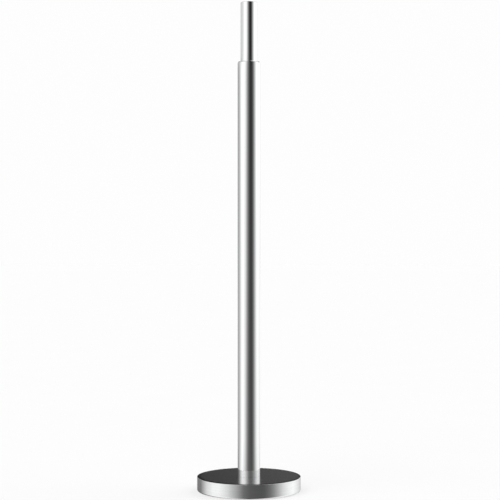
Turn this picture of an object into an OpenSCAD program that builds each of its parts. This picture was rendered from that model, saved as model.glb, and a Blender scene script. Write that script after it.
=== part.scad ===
// Flag pole stand with a telescopic post
//
// A weighted round base carries a polished post. A thinner tube slides in the
// post and is held by a twist lock inside it. A flag staff drops into the top
// of the thinner tube and stands in a cup at its lower end.
//
// Frame: Z is up, the floor is Z = 0 and the post's axis is the Z axis.
// All lengths are in millimetres.

/* [Base] */
// Outside diameter of the base
base_d = 300; // [260:5:420]
// Height of the bright rim band
rim_h = 40; // [38:1:60]
// Wall thickness of the rim band
rim_wall = 1.5; // [1:0.5:3]
// Outside radius of the rim band's lower edge
rim_round = 3; // [1:0.5:3]
// How far the rim stands above the top plate's edge
rim_lip = 0.2; // [0.1:0.1:1]
// Thickness of the top plate
plate_t = 3; // [2:0.5:5]
// How far the top plate falls away towards its edge
plate_fall = 0.8; // [0.1:0.1:1]
// Gap between the floor and the underside of the base
foot_gap = 2; // [1:0.5:4]
// Number of screws that hold the rim band
band_screw_count = 4; // [3:1:8]
// Number of pockets cored into the underside of the ballast
pocket_count = 6; // [4:1:8]

/* [Post] */
// Outside diameter of the post
post_d = 65; // [62:0.5:76]
// Wall thickness of the post
post_wall = 1.5; // [1.2:0.1:2]
// Height of the top of the post above the floor
post_top = 1244; // [1100:1:1600]
// Outside radius of the rolled mouth
mouth_roll = 3.5; // [2.5:0.5:3.5]
// Length of the guide bush in the mouth
bush_len = 80; // [50:5:100]

/* [Upper tube] */
// Outside diameter of the upper tube
upper_d = 48.3; // [45:0.1:49]
// Wall thickness of the upper tube
upper_wall = 2; // [1.5:0.1:2.5]
// Length of upper tube that stands out of the post
upper_show = 172; // [160:1:500]
// Diameter of the socket for the flag staff
staff_socket_d = 32.5; // [25:0.5:34]
// Length of the reducer bush in the top of the upper tube
staff_bush_len = 70; // [40:5:120]

/* [Travel] */
// How far the upper tube can sink from the height shown
retract_travel = 153; // [100:1:155]
// How far the upper tube can rise from the height shown
extend_travel = 700; // [200:10:700]

/* [Twist lock] */
// Thread diameter of the lock stud
stud_d = 12; // [10:1:14]
// Thread pitch of the lock stud
stud_pitch = 1.75; // [1.5:0.25:2]
// Number of slots in the expander sleeve
slot_count = 4; // [2:2:6]
// Width of each slot
slot_w = 4; // [3:0.5:5]
// Length of the expander cone
cone_h = 34; // [30:1:40]

/* [Hidden] */

$fn = 96;
e = 0.01;          // overshoot of a cut past a face

// clearances, on the radius
seat = 0.02;       // pieces pressed or screwed together
slide = 0.07;      // pieces that slide on each other
loose = 0.2;       // pieces dropped in place

// base, from the floor up
base_r = base_d / 2;
z_under = foot_gap;
z_rim_top = z_under + rim_h;
z_plate_top = z_rim_top - rim_lip + plate_fall;
z_plate_bot = z_plate_top - plate_t;
flange_t = 2.5;
flange_w = 10;
ballast_r = base_r - rim_wall - loose;
boss_r = base_r - rim_wall - flange_w - loose;
z_flange_top = z_under + flange_t;
fall_w = 14;

// rubber ring
ring_in_r = boss_r - 20;
ring_out_r = boss_r - 6;
ring_sunk = 3;

// band screws, M4 countersunk
band_screw_r = base_r - rim_wall - flange_w / 2;
band_screw_len = 12;
m4_r = 2;
m4_head_r = 4;
m4_head_h = 2.2;

// cored pockets
pocket_in_r = 50;
pocket_out_r = ring_in_r - 12;
pocket_h = 14;
pocket_rib = 12;

// M16 bolt and its washers
m16_r = 8;
m16_clear_r = 8.5;
m16_af = 24;
m16_head_h = 10;
bolt_len = 50;
washer_t = 3;
washer_r = 15;
spring_t = 3.5;
spring_r = 13.7;
bolt_pocket_r = 22;
z_bolt_seat = z_under + 18;
z_washer_bot = z_bolt_seat - washer_t;
z_spring_bot = z_washer_bot - spring_t;
z_head_bot = z_spring_bot - m16_head_h;

// post
gasket_t = 0.5;
post_r = post_d / 2;
post_in_r = post_r - post_wall;
z_post_bot = z_plate_top;
z_foot_bot = z_post_bot + gasket_t;
mouth_r = post_r - mouth_roll - 0.55;
z_roll = post_top - mouth_roll;
z_bush_bot = post_top - bush_len;

// foot plug and bump stop
plug_h = 35;
z_foot_top = z_foot_bot + plug_h;
bump_h = 8;
bump_r = 20;
bump_stem_h = 8;
z_bump_top = z_foot_top + bump_h;

// spring pin between ballast and foot plug
pin_r = 3;
pin_wall = 1.2;
pin_at = 20;
z_pin_bot = z_plate_bot - 10;
z_pin_top = z_foot_bot + 10;

// upper tube
upper_r = upper_d / 2;
upper_in_r = upper_r - upper_wall;
socket_r = staff_socket_d / 2;
z_top = post_top + upper_show;

// twist lock, from the stud's lower end up
stud_r = stud_d / 2;
unlock = stud_pitch / 2;
z_stud_end = z_bump_top + retract_travel;
nut_h = 12;
nut_af = 1.6 * stud_d;
z_nut_bot = z_stud_end + 4;
z_nut_top = z_nut_bot + nut_h;
z_cone_bot = z_nut_top + unlock + 0.1;
z_cone_top = z_cone_bot + cone_h;
cone_bot_r = post_in_r - 6.2;
cone_top_r = cone_bot_r - 6;
z_sleeve_bot = z_cone_bot + 1;
z_sleeve_top = z_sleeve_bot + cone_h + 26;
sleeve_web = 8;
sleeve_ring = 14;
z_washer2_bot = z_sleeve_top + 0.1;
thrust_t = 3;
z_plug_bot = z_washer2_bot + thrust_t;
plug_flange_t = 6;
plug_flange_r = upper_r + 3.3;
z_tube_bot = z_plug_bot + plug_flange_t;
z_plug_top = z_tube_bot + 50;
z_cup_bot = z_tube_bot + 25;
z_thread_top = z_tube_bot + 18;
z_stud_top = z_thread_top - 1;
z_cross = z_tube_bot + 6;

// guide ring and rivets
guide_h = 25;
guide_r = post_in_r - slide;
z_guide_top = z_tube_bot + guide_h;
rivet_count = 3;
rivet_r = 2.5;
rivet_head_r = 4.5;
rivet_head_h = 2;
rivet_in = 12;
rivet_out = guide_r - 1;
z_rivet = z_tube_bot + 14;

// stop ring
stop_h = 15;
stop_r = post_in_r - 0.75;
z_stop_top = max(z_bush_bot - extend_travel, z_guide_top + 60);
z_stop_bot = z_stop_top - stop_h;
grub_r = 2.5;

// ---- shared shapes ----

// plain ring with square edges
module ring(r_out, r_in, z0, z1) {
  rotate_extrude() translate([r_in, z0]) square([r_out - r_in, z1 - z0]);
}

// ring whose four edges are broken by c
module soft_ring(r_out, r_in, z0, z1, c) {
  rotate_extrude() polygon([
    [r_in + c, z0], [r_out - c, z0], [r_out, z0 + c], [r_out, z1 - c],
    [r_out - c, z1], [r_in + c, z1], [r_in, z1 - c], [r_in, z0 + c]
  ]);
}

// hexagon prism across flats, with its corners turned off at both ends
module hex_prism(af, z0, z1) {
  d = af / cos(30);
  intersection() {
    translate([0, 0, z0]) cylinder(d = d, h = z1 - z0, $fn = 6);
    rotate_extrude() polygon([
      [0, z0], [af / 2, z0], [d / 2 + e, z0 + 1], [d / 2 + e, z1 - 1],
      [af / 2, z1], [0, z1]
    ]);
  }
}

// cylinder lying along +X at a height, from one radius to another
module spoke(r, from, to, z) {
  translate([from, 0, z]) rotate([0, 90, 0]) cylinder(r = r, h = to - from);
}

// copies its children round the Z axis
module around(count, first = 0) {
  for (i = [0:count - 1]) rotate([0, 0, first + i * 360 / count]) children();
}

// countersunk screw with its head down, widened by gap
module flat_screw(gap) {
  rotate_extrude() polygon([
    [0, 0], [m4_head_r + gap, 0], [m4_r + gap, m4_head_h],
    [m4_r + gap, band_screw_len], [0, band_screw_len]
  ]);
}

// ---- base ----

module floor_ring() {
  color([0.09, 0.09, 0.095])
    soft_ring(ring_out_r, ring_in_r, 0, z_under + ring_sunk, 0.6);
}

module rim_band() {
  color([0.86, 0.87, 0.88])
    difference() {
      rotate_extrude() {
        // flange turned in under the ballast
        translate([base_r - rim_wall - flange_w, z_under])
          square([rim_wall + flange_w - rim_round, flange_t]);
        // rounded lower edge
        difference() {
          intersection() {
            translate([base_r - rim_round, z_under + rim_round])
              circle(r = rim_round);
            translate([base_r - rim_round, z_under])
              square([rim_round + 1, rim_round]);
          }
          translate([base_r - rim_wall - 10, z_flange_top]) square(10);
        }
        // wall
        polygon([
          [base_r - rim_wall, z_under + rim_round],
          [base_r, z_under + rim_round], [base_r, z_rim_top - 0.4],
          [base_r - 0.4, z_rim_top], [base_r - rim_wall, z_rim_top]
        ]);
      }
      around(band_screw_count, 45) translate([band_screw_r, 0, z_under])
        flat_screw(0.05);
    }
}

module band_screws() {
  color([0.62, 0.63, 0.65])
    around(band_screw_count, 45) translate([band_screw_r, 0, z_under + 0.05])
      difference() {
        flat_screw(0);
        translate([0, 0, -e]) cylinder(d = 2.9, h = 1.6, $fn = 6);
      }
}

module ballast_disc() {
  color([0.16, 0.16, 0.17])
    difference() {
      rotate_extrude() polygon([
        [m16_clear_r, z_bolt_seat], [bolt_pocket_r, z_bolt_seat],
        [bolt_pocket_r, z_under], [ring_in_r, z_under],
        [ring_in_r, z_under + ring_sunk], [ring_out_r, z_under + ring_sunk],
        [ring_out_r, z_under], [boss_r, z_under], [boss_r, z_flange_top],
        [ballast_r, z_flange_top], [ballast_r, z_plate_bot - 1],
        [ballast_r - 1, z_plate_bot], [m16_clear_r, z_plate_bot]
      ]);
      for (i = [0:pocket_count - 1])
        rotate([0, 0, i * 360 / pocket_count])
          difference() {
            rotate([0, 0, -180 / pocket_count + 1])
              rotate_extrude(angle = 360 / pocket_count - 2)
                translate([pocket_in_r, z_under - e])
                  square([pocket_out_r - pocket_in_r, pocket_h + e]);
            rotate([0, 0, 180 / pocket_count])
              translate([0, -pocket_rib / 2, 0])
                cube([base_r, pocket_rib, 100]);
            rotate([0, 0, -180 / pocket_count])
              translate([0, -pocket_rib / 2, 0])
                cube([base_r, pocket_rib, 100]);
          }
      around(band_screw_count, 45)
        translate([band_screw_r, 0, z_under])
          cylinder(r = m4_r + seat, h = band_screw_len + 2);
      translate([pin_at, 0, z_pin_bot]) cylinder(r = pin_r, h = 20);
    }
}

module top_plate() {
  color([0.11, 0.11, 0.12])
    difference() {
      rotate_extrude() polygon([
        [m16_clear_r, z_plate_bot], [ballast_r - 0.3, z_plate_bot],
        [ballast_r, z_plate_bot + 0.3], [ballast_r, z_plate_top - plate_fall],
        [ballast_r - fall_w / 2, z_plate_top - plate_fall / 4],
        [ballast_r - fall_w, z_plate_top], [m16_clear_r, z_plate_top]
      ]);
      translate([pin_at, 0, z_plate_bot - e]) cylinder(r = pin_r, h = plate_t + 2 * e);
    }
}

// seals the bolt's hole, between the plate and the foot plug
module post_gasket() {
  color([0.08, 0.08, 0.085])
    difference() {
      ring(post_in_r - 0.5, m16_clear_r, z_plate_top, z_foot_bot);
      translate([pin_at, 0, z_plate_top - e]) cylinder(r = pin_r, h = gasket_t + 2 * e);
    }
}

module centre_bolt() {
  color([0.60, 0.61, 0.63])
    union() {
      hex_prism(m16_af, z_head_bot, z_spring_bot);
      rotate_extrude() polygon([
        [0, z_spring_bot - 1], [m16_r - seat, z_spring_bot - 1],
        [m16_r - seat, z_spring_bot + bolt_len - 1.5],
        [m16_r - 1.5, z_spring_bot + bolt_len], [0, z_spring_bot + bolt_len]
      ]);
    }
}

module bolt_washer() {
  color([0.66, 0.67, 0.69])
    soft_ring(washer_r, m16_clear_r, z_washer_bot, z_bolt_seat, 0.3);
}

module spring_washer() {
  color([0.50, 0.51, 0.53])
    difference() {
      ring(spring_r, m16_r + 0.3, z_spring_bot, z_washer_bot);
      rotate([0, 0, 90]) translate([0, 0, z_spring_bot + spring_t / 2])
        rotate([20, 0, 0]) translate([4, -1, -10]) cube([20, 2, 20]);
    }
}

module locating_pin() {
  color([0.55, 0.56, 0.58])
    translate([pin_at, 0, 0]) difference() {
      soft_ring(pin_r - seat, pin_r - pin_wall, z_pin_bot, z_pin_top, 0.3);
      translate([0, -0.6, z_pin_bot - e]) cube([10, 1.2, 100]);
    }
}

module foot_plug() {
  color([0.52, 0.53, 0.55])
    difference() {
      soft_ring(post_in_r - seat, m16_r, z_foot_bot, z_foot_top, 0.8);
      translate([pin_at, 0, z_foot_bot - e]) cylinder(r = pin_r, h = 11);
    }
}

module bump_stop() {
  color([0.10, 0.10, 0.105])
    rotate_extrude() polygon([
      [0, z_foot_top - bump_stem_h], [m16_r - 0.9, z_foot_top - bump_stem_h],
      [m16_r - 0.1, z_foot_top - bump_stem_h + 1], [m16_r - 0.1, z_foot_top],
      [bump_r, z_foot_top], [bump_r, z_bump_top - 2],
      [bump_r - 2, z_bump_top], [0, z_bump_top]
    ]);
}

// ---- post ----

module post_tube() {
  color([0.80, 0.81, 0.82])
    rotate_extrude() {
      translate([post_in_r, z_post_bot]) square([post_wall, z_roll - z_post_bot]);
      translate([post_r - mouth_roll, z_roll])
        intersection() {
          difference() {
            circle(r = mouth_roll);
            circle(r = mouth_roll - post_wall);
          }
          square(mouth_roll + 1);
        }
      translate([mouth_r, post_top - post_wall])
        square([post_r - mouth_roll - mouth_r, post_wall]);
    }
}

module mouth_bush() {
  color([0.14, 0.14, 0.15])
    rotate_extrude() polygon([
      [upper_r + slide + 1, z_bush_bot], [post_in_r - 1, z_bush_bot],
      [post_in_r - 0.05, z_bush_bot + 1], [post_in_r - 0.05, z_roll - 0.1],
      [mouth_r + 0.7, post_top - post_wall - 0.3],
      [mouth_r - 0.05, post_top - post_wall - 0.3],
      [mouth_r - 0.05, post_top - 0.2], [upper_r + slide + 0.5, post_top - 0.2],
      [upper_r + slide, post_top - 0.7], [upper_r + slide, z_bush_bot + 1]
    ]);
}

// ---- upper tube and what rides on it ----

module upper_tube() {
  color([0.82, 0.83, 0.84])
    difference() {
      rotate_extrude() polygon([
        [upper_in_r, z_tube_bot], [upper_r, z_tube_bot],
        [upper_r, z_top - 0.6], [upper_r - 0.6, z_top],
        [upper_in_r + 0.3, z_top], [upper_in_r, z_top - 0.3]
      ]);
      around(rivet_count, 90) spoke(rivet_r, rivet_in, rivet_out, z_rivet);
    }
}

module staff_bush() {
  color([0.12, 0.12, 0.13])
    rotate_extrude() polygon([
      [socket_r + 2, z_top - staff_bush_len],
      [upper_in_r - seat, z_top - staff_bush_len],
      [upper_in_r - seat, z_top - 0.5], [socket_r + 1, z_top - 0.5],
      [socket_r, z_top - 1.5], [socket_r, z_top - staff_bush_len + 2]
    ]);
}

module end_plug() {
  color([0.70, 0.71, 0.73])
    difference() {
      rotate_extrude() polygon([
        [stud_r, z_plug_bot], [plug_flange_r - 0.5, z_plug_bot],
        [plug_flange_r, z_plug_bot + 0.5], [plug_flange_r, z_tube_bot],
        [upper_in_r - seat, z_tube_bot], [upper_in_r - seat, z_plug_top - 1],
        [upper_in_r - 1, z_plug_top], [socket_r + 4, z_plug_top],
        [socket_r, z_plug_top - 5], [socket_r, z_cup_bot], [0, z_cup_bot],
        [0, z_thread_top], [stud_r, z_thread_top]
      ]);
      around(rivet_count, 90) spoke(rivet_r, rivet_in, rivet_out, z_rivet);
      spoke(2, -upper_in_r + 2, upper_in_r - 2, z_cross);
    }
}

module lower_guide_ring() {
  color([0.85, 0.85, 0.82])
    difference() {
      soft_ring(guide_r, upper_r + seat, z_tube_bot, z_guide_top, 0.8);
      around(rivet_count, 90) {
        spoke(rivet_r, upper_r - 2, guide_r + 2, z_rivet);
        spoke(rivet_head_r + 0.1, rivet_out - rivet_head_h, guide_r + 2, z_rivet);
      }
    }
}

module plug_rivets() {
  color([0.72, 0.73, 0.74])
    around(rivet_count, 90) union() {
      spoke(rivet_r - seat, rivet_in + 0.1, rivet_out - 0.5, z_rivet);
      spoke(rivet_head_r, rivet_out - rivet_head_h, rivet_out, z_rivet);
    }
}

module stud_pin() {
  color([0.55, 0.56, 0.58])
    spoke(2 - seat, -upper_in_r + 3, upper_in_r - 3, z_cross);
}

module lock_stud() {
  color([0.60, 0.61, 0.63])
    difference() {
      rotate_extrude() polygon([
        [0, z_stud_end], [stud_r - 1, z_stud_end],
        [stud_r - seat, z_stud_end + 1], [stud_r - seat, z_stud_top - 1],
        [stud_r - 1, z_stud_top], [0, z_stud_top]
      ]);
      spoke(2, -upper_in_r, upper_in_r, z_cross);
    }
}

module thrust_washer() {
  color([0.78, 0.62, 0.30])
    soft_ring(upper_r - 0.2, stud_r + 0.3, z_washer2_bot, z_plug_bot, 0.3);
}

module stop_ring() {
  color([0.58, 0.59, 0.61])
    difference() {
      soft_ring(stop_r, upper_r + seat, z_stop_bot, z_stop_top, 0.8);
      around(2, 0) spoke(grub_r, upper_r - 1, stop_r + 1, z_stop_bot + stop_h / 2);
    }
}

module stop_ring_screws() {
  color([0.24, 0.24, 0.25])
    around(2, 0) difference() {
      spoke(grub_r - seat, upper_r + 0.02, stop_r - 0.4, z_stop_bot + stop_h / 2);
      translate([stop_r - 2.4, 0, z_stop_bot + stop_h / 2]) rotate([0, 90, 0])
        cylinder(d = 2.9, h = 3, $fn = 6);
    }
}

module stop_nut() {
  color([0.64, 0.65, 0.67])
    difference() {
      union() {
        hex_prism(nut_af, z_nut_bot + 3, z_nut_top);
        translate([0, 0, z_nut_bot]) cylinder(r = nut_af / 2 - 1, h = 4);
      }
      translate([0, 0, z_nut_bot - 1]) cylinder(r = stud_r, h = nut_h + 2);
    }
}

// ---- twist lock ----

module expander_sleeve() {
  color([0.80, 0.78, 0.70])
    difference() {
      rotate_extrude() polygon([
        [cone_bot_r + 0.1 - 6 / cone_h, z_sleeve_bot],
        [post_in_r - 1, z_sleeve_bot], [post_in_r - 0.05, z_sleeve_bot + 1],
        [post_in_r - 0.05, z_sleeve_top - 1], [post_in_r - 1, z_sleeve_top],
        [stud_r + 0.5, z_sleeve_top], [stud_r + 0.5, z_sleeve_top - sleeve_web],
        [cone_top_r + 0.1, z_sleeve_top - sleeve_web],
        [cone_top_r + 0.1, z_cone_top]
      ]);
      around(slot_count)
        translate([cone_top_r - 4, -slot_w / 2, z_sleeve_bot - 1])
          cube([40, slot_w, z_sleeve_top - sleeve_ring - z_sleeve_bot + 1]);
    }
}

module expander_cone() {
  color([0.72, 0.73, 0.75])
    difference() {
      union() {
        rotate_extrude() polygon([
          [0, z_cone_bot], [cone_bot_r, z_cone_bot],
          [cone_top_r, z_cone_top], [0, z_cone_top]
        ]);
        around(2) translate([cone_top_r - 6, -slot_w / 2 + 0.2, z_cone_bot])
          cube([post_in_r - 1 - cone_top_r + 6, slot_w - 0.4, cone_h - 2]);
      }
      translate([0, 0, z_cone_bot - 1]) cylinder(r = stud_r, h = cone_h + 2);
    }
}

floor_ring();
rim_band();
band_screws();
ballast_disc();
top_plate();
post_gasket();
centre_bolt();
bolt_washer();
spring_washer();
locating_pin();
foot_plug();
bump_stop();
post_tube();
mouth_bush();
upper_tube();
staff_bush();
end_plug();
lower_guide_ring();
plug_rivets();
stud_pin();
lock_stud();
thrust_washer();
stop_ring();
stop_ring_screws();
stop_nut();
expander_sleeve();
expander_cone();
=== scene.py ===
import math

import bmesh
import bpy
from mathutils import Matrix, Vector


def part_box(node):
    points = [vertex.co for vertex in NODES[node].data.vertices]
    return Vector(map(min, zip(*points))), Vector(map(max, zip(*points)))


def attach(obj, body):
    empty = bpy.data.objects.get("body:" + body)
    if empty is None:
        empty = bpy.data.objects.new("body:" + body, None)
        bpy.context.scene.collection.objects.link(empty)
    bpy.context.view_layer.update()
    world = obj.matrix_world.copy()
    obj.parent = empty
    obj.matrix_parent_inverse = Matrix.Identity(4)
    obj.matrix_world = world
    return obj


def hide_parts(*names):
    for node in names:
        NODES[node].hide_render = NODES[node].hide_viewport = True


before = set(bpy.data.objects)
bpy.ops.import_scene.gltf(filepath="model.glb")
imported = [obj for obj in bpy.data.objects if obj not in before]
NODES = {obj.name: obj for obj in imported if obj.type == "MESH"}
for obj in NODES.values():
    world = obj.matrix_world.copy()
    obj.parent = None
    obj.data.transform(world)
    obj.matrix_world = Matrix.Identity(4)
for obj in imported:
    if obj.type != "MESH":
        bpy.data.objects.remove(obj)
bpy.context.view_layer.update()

MM = 0.001


# ------------------------------------------------------------------ geometry
def top(node):
    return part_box(node)[1].z / MM


def bottom(node):
    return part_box(node)[0].z / MM


def filleted(points, seg=6):
    """A closed (r, z, fillet) outline in millimetres with its corners rounded."""
    out = []
    n = len(points)
    for i, (r, z, rad) in enumerate(points):
        p = Vector((r, z))
        a = Vector(points[i - 1][:2])
        b = Vector(points[(i + 1) % n][:2])
        if rad <= 0:
            out.append((r, z))
            continue
        u, v = (a - p).normalized(), (b - p).normalized()
        ang = u.angle(v)
        if ang > math.pi - 1e-3:
            out.append((r, z))
            continue
        t = min(rad / math.tan(ang / 2), 0.49 * (a - p).length, 0.49 * (b - p).length)
        rr = t * math.tan(ang / 2)
        s, e = p + u * t, p + v * t
        c = p + (u + v).normalized() * (rr / math.sin(ang / 2))
        a0 = math.atan2(s.y - c.y, s.x - c.x)
        d = math.atan2(e.y - c.y, e.x - c.x) - a0
        d = (d + math.pi) % (2 * math.pi) - math.pi
        for k in range(seg + 1):
            w = a0 + d * k / seg
            out.append((c.x + rr * math.cos(w), c.y + rr * math.sin(w)))
    return out


def supported(outline, gap=0.25, step=70.0):
    """The same outline with points added beside both ends of every long span,
    so that smooth shading stays true to the flat or straight surface there."""
    out = []
    for i, p in enumerate(outline):
        q = outline[(i + 1) % len(outline)]
        out.append(p)
        d = math.hypot(q[0] - p[0], q[1] - p[1])
        if d > 5 * gap:
            parts = max(1, math.ceil((d - 2 * gap) / step))
            for k in range(parts + 1):
                s = (gap + (d - 2 * gap) * k / parts) / d
                out.append((p[0] + (q[0] - p[0]) * s, p[1] + (q[1] - p[1]) * s))
    return out


def link(name, mesh):
    if isinstance(mesh, bmesh.types.BMesh):
        bm, mesh = mesh, bpy.data.meshes.new(name)
        bm.to_mesh(mesh)
        bm.free()
    ob = bpy.data.objects.new(name, mesh)
    bpy.context.scene.collection.objects.link(ob)
    return ob


def soften(ob, angle=32.0):
    """Smooth shading with hard edges only where the surface really turns."""
    ob.data.shade_smooth()
    ob.data.set_sharp_from_angle(angle=math.radians(angle))
    return ob


def skin(name, rings, closed=False, wrap=True, smooth=True, angle=32.0):
    """A solid from rings of points in millimetres, each ring as long as the next.
    closed joins the last ring to the first; otherwise both ends are capped."""
    verts, at = [], []
    for ring in rings:
        if len(ring) == 1:
            at.append([len(verts)])
        else:
            at.append(list(range(len(verts), len(verts) + len(ring))))
        verts += [(x * MM, y * MM, z * MM) for x, y, z in ring]
    faces = []
    pairs = list(zip(at, at[1:]))
    if closed:
        pairs.append((at[-1], at[0]))
    for a, b in pairs:
        n = max(len(a), len(b))
        for k in range(n if wrap else n - 1):
            j = (k + 1) % n
            if len(a) == 1 and len(b) == 1:
                continue
            if len(a) == 1:
                faces.append((a[0], b[k], b[j]))
            elif len(b) == 1:
                faces.append((a[k], b[0], a[j]))
            else:
                faces.append((a[k], b[k], b[j], a[j]))
    if not closed:
        if len(at[0]) > 1:
            faces.append(tuple(at[0]))
        if len(at[-1]) > 1:
            faces.append(tuple(reversed(at[-1])))
    mesh = bpy.data.meshes.new(name)
    mesh.from_pydata(verts, [], faces)
    bm = bmesh.new()
    bm.from_mesh(mesh)
    bmesh.ops.recalc_face_normals(bm, faces=bm.faces)
    bm.to_mesh(mesh)
    bm.free()
    ob = link(name, mesh)
    return soften(ob, angle) if smooth else ob


def lathe(name, outline, segs=192, smooth=True):
    """A closed (r, z) outline in millimetres turned about Z."""
    rings = []
    n = len(outline)
    for i, (r, z) in enumerate(outline):
        if r < 1e-6:
            # only the ends of a stretch along the axis are needed
            if outline[i - 1][0] >= 1e-6 or outline[(i + 1) % n][0] >= 1e-6:
                rings.append([(0.0, 0.0, z)])
        else:
            rings.append(
                [
                    (r * math.cos(2 * math.pi * k / segs), r * math.sin(2 * math.pi * k / segs), z)
                    for k in range(segs)
                ]
            )
    return skin(name, rings, closed=True, smooth=smooth)


def turned(name, points, segs=192, seg=6, gap=0.25, smooth=True):
    return lathe(name, supported(filleted(points, seg), gap), segs, smooth)


def arc(cx, cz, r, a0, a1, n):
    """n + 1 points on an arc, angles in degrees."""
    return [
        (
            cx + r * math.cos(math.radians(a0 + (a1 - a0) * k / n)),
            cz + r * math.sin(math.radians(a0 + (a1 - a0) * k / n)),
        )
        for k in range(n + 1)
    ]


def c_ring(name, section, gap_deg, at_deg, slant=0.0, segs=96, centre=(0.0, 0.0)):
    """A ring that is open at one place: the section is swept round Z and capped."""
    zs = [z for _, z in section]
    mid = (min(zs) + max(zs)) / 2
    rings = []
    for k in range(segs + 1):
        f = k / segs
        ring = []
        for r, z in section:
            side = slant * (z - mid) / r
            a = math.radians(at_deg + gap_deg / 2) + side + f * math.radians(360 - gap_deg)
            ring.append((centre[0] + r * math.cos(a), centre[1] + r * math.sin(a), z))
        rings.append(ring)
    return skin(name, rings)


def bar_thread(name, r, pitch, z0, z1, low=1.0, high=1.0, plain=None, segs=72, per=8, before=(), after=()):
    """A round bar with a real right-hand thread and chamfered ends; plain is the
    height above which the thread runs out into a smooth shank."""
    depth = 0.6134 * pitch
    n = max(4, math.ceil((z1 - z0) * per / pitch))

    def plain_ring(rr, z):
        if rr < 1e-6:
            return [(0.0, 0.0, z)]
        return [(rr * math.cos(2 * math.pi * k / segs), rr * math.sin(2 * math.pi * k / segs), z) for k in range(segs)]

    rings = [plain_ring(*p) for p in (before or [(0, z0)])]
    for i in range(n + 1):
        z = z0 + (z1 - z0) * i / n
        fade = 1.0 if plain is None else min(1.0, max(0.0, (plain - z) / pitch))
        ring = []
        for k in range(segs):
            phase = (z / pitch - k / segs) % 1.0
            w = abs(phase - 0.5) * 2
            g = min(1.0, max(0.0, (w - 0.125) / 0.625))
            rr = r - depth * g * fade
            rr = min(rr, r - low + (z - z0), r - high + (z1 - z))
            a = 2 * math.pi * k / segs
            ring.append((rr * math.cos(a), rr * math.sin(a), z))
        rings.append(ring)
    rings += [plain_ring(*p) for p in (after or [(0, z1)])]
    return skin(name, rings, angle=50.0)


def prism(name, sides, r, z0, z1, turn=0.0):
    ring = [
        (r * math.cos(2 * math.pi * k / sides + turn), r * math.sin(2 * math.pi * k / sides + turn))
        for k in range(sides)
    ]
    return skin(name, [[(x, y, z) for x, y in ring] for z in (z0, z1)], smooth=False)


def rod(r, start, end, z, turn, segs=48):
    """A cylinder that lies along a radius, for cutting a cross hole."""
    ob = prism("cutter", segs, r, start, end)
    ob.matrix_world = (
        Matrix.Rotation(math.radians(turn), 4, "Z")
        @ Matrix.Translation((0, 0, z * MM))
        @ Matrix.Rotation(math.radians(90), 4, "Y")
    )
    return ob


def block(x0, x1, y0, y1, z0, z1, turn=0.0):
    ob = skin(
        "cutter",
        [[(x0, y0, z), (x1, y0, z), (x1, y1, z), (x0, y1, z)] for z in (z0, z1)],
        smooth=False,
    )
    ob.matrix_world = Matrix.Rotation(math.radians(turn), 4, "Z")
    return ob


def placed(ob, matrix):
    ob.data.transform(matrix)
    ob.data.update()
    return ob


def joined(name, obs):
    """Several separate solids of one kind as one object."""
    bm = bmesh.new()
    for ob in obs:
        tmp = ob.data.copy()
        tmp.transform(ob.matrix_world)
        bm.from_mesh(tmp)
        bpy.data.meshes.remove(tmp)
    for ob in obs:
        data = ob.data
        bpy.data.objects.remove(ob)
        bpy.data.meshes.remove(data)
    return link(name, bm)


def combine(ob, others, how="DIFFERENCE", angle=32.0):
    """Exact boolean, applied, with the other solids thrown away."""
    for c in others:
        m = ob.modifiers.new("cut", "BOOLEAN")
        m.operation, m.solver, m.object = how, "EXACT", c
    bpy.context.view_layer.update()
    dg = bpy.context.evaluated_depsgraph_get()
    mesh = bpy.data.meshes.new_from_object(ob.evaluated_get(dg), depsgraph=dg)
    ob.modifiers.clear()
    old = ob.data
    ob.data = mesh
    mesh.name = ob.name
    bpy.data.meshes.remove(old)
    for c in others:
        data = c.data
        bpy.data.objects.remove(c)
        bpy.data.meshes.remove(data)
    bm = bmesh.new()
    bm.from_mesh(mesh)
    bmesh.ops.remove_doubles(bm, verts=bm.verts, dist=2e-7)
    bmesh.ops.dissolve_degenerate(bm, edges=bm.edges, dist=1e-7)
    bm.to_mesh(mesh)
    bm.free()
    return soften(ob, angle)


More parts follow.
